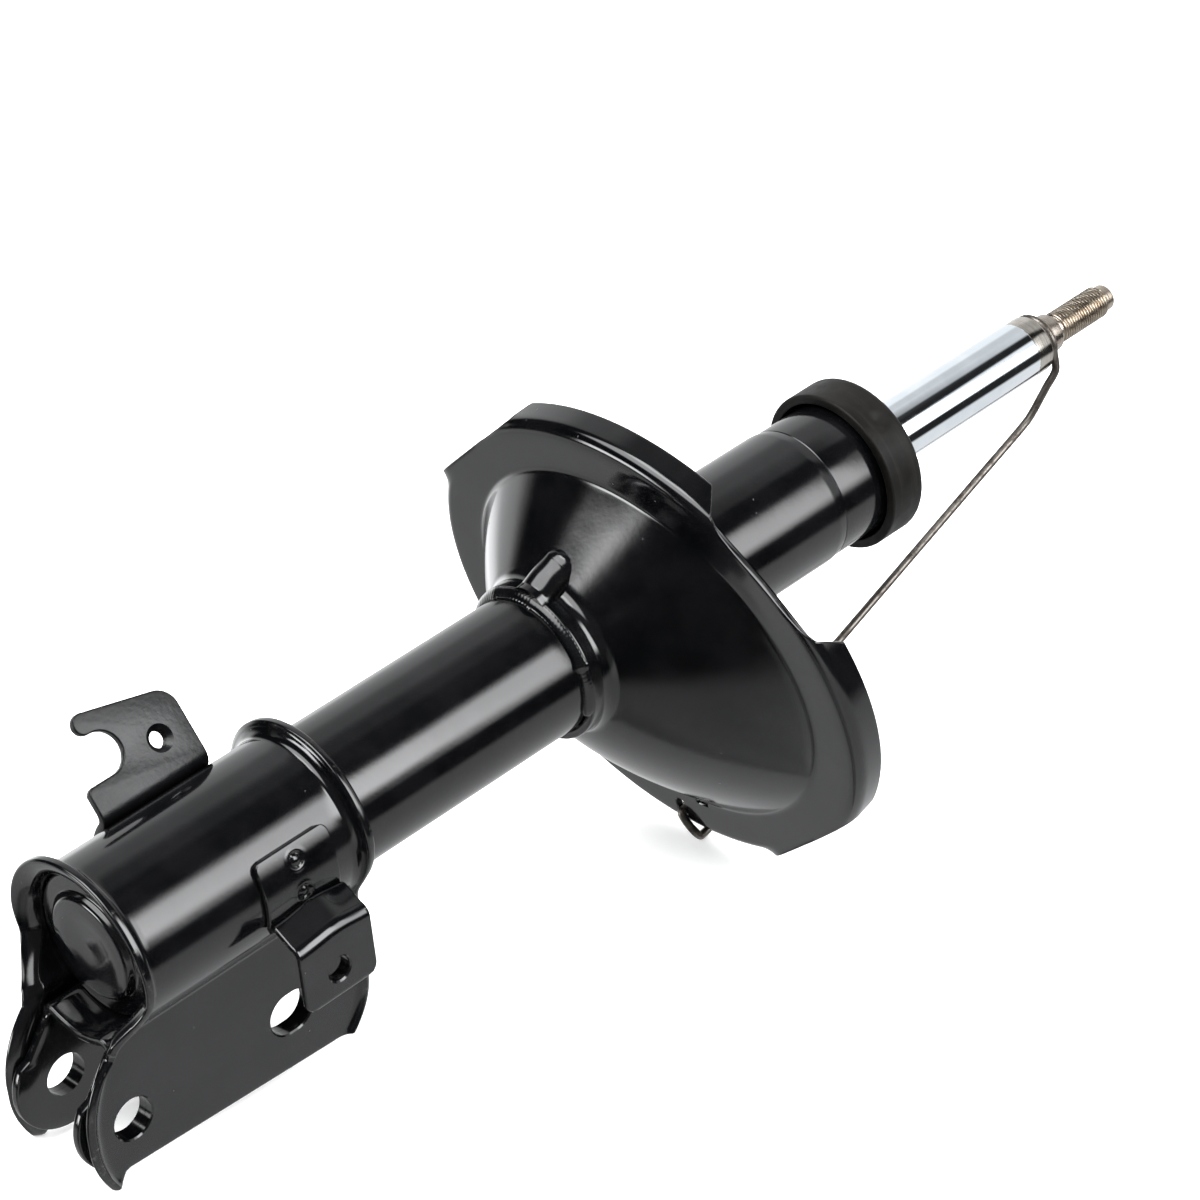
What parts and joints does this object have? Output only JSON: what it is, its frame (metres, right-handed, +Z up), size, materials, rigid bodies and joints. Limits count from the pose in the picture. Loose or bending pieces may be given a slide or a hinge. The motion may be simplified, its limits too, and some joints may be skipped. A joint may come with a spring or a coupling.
{
  "type": "suspension strut",
  "caption": "Front suspension strut lying on its side: black damper tube with an eared knuckle bracket, offset spring seat, chrome rod with a threaded stud, and a steel transport wire.",
  "frame": {"origin": "centre of the lower knuckle bolt hole, midway between the two ears", "axes": "+X along the strut as it lies, towards the rod; +Y along the knuckle bolts, away from the sensor bracket; +Z up from the surface that it lies on"},
  "size_m": [0.5064, 0.1845, 0.1832],
  "materials": {
    "black_paint": "gloss",
    "cap_black": "matte",
    "chrome": "polished",
    "wire_steel": "satin",
    "plain_steel": "satin",
    "spring_steel": "polished",
    "sintered_iron": "matte",
    "bronze": "satin",
    "rubber": "matte",
    "ptfe": "matte"
  },
  "bodies": {
    "strut_body": {"outer_tube": "black_paint", "base_cup": "black_paint", "knuckle_bracket": "black_paint", "ear_channel": "black_paint", "bracket_weld": "black_paint", "spring_seat": "black_paint", "seat_weld": "black_paint", "hose_bracket": "black_paint", "sensor_bracket": "black_paint", "end_cap": "cap_black", "transport_wire": "wire_steel", "inner_cylinder": "plain_steel", "base_valve": "sintered_iron", "base_valve_discs": "spring_steel", "base_valve_bolt": "plain_steel", "rod_guide": "sintered_iron", "guide_bush": "bronze", "oil_seal": "rubber", "seal_spring": "spring_steel", "seal_washer": "plain_steel"},
    "piston_ring": {"piston_band": "ptfe"},
    "rod": {"piston_rod": "chrome", "piston": "sintered_iron", "rebound_discs": "spring_steel", "bump_discs": "spring_steel", "piston_nut": "plain_steel", "rebound_stop": "plain_steel", "rebound_rubber": "rubber"}
  },
  "joints": [
    {"name": "rod_slide", "type": "slide", "parent": "strut_body", "child": "piston_ring", "axis": [0.9935, 0, 0.1141], "range_m": [-0.085, 0], "stiffness_N_per_m": 300, "springref_m": 0.3},
    {"name": "rod_spin", "type": "hinge", "parent": "piston_ring", "child": "rod", "pos_m": [0.39726, 0, 0.09846], "axis": [0.9935, 0, 0.1141], "continuous": true}
  ]
}
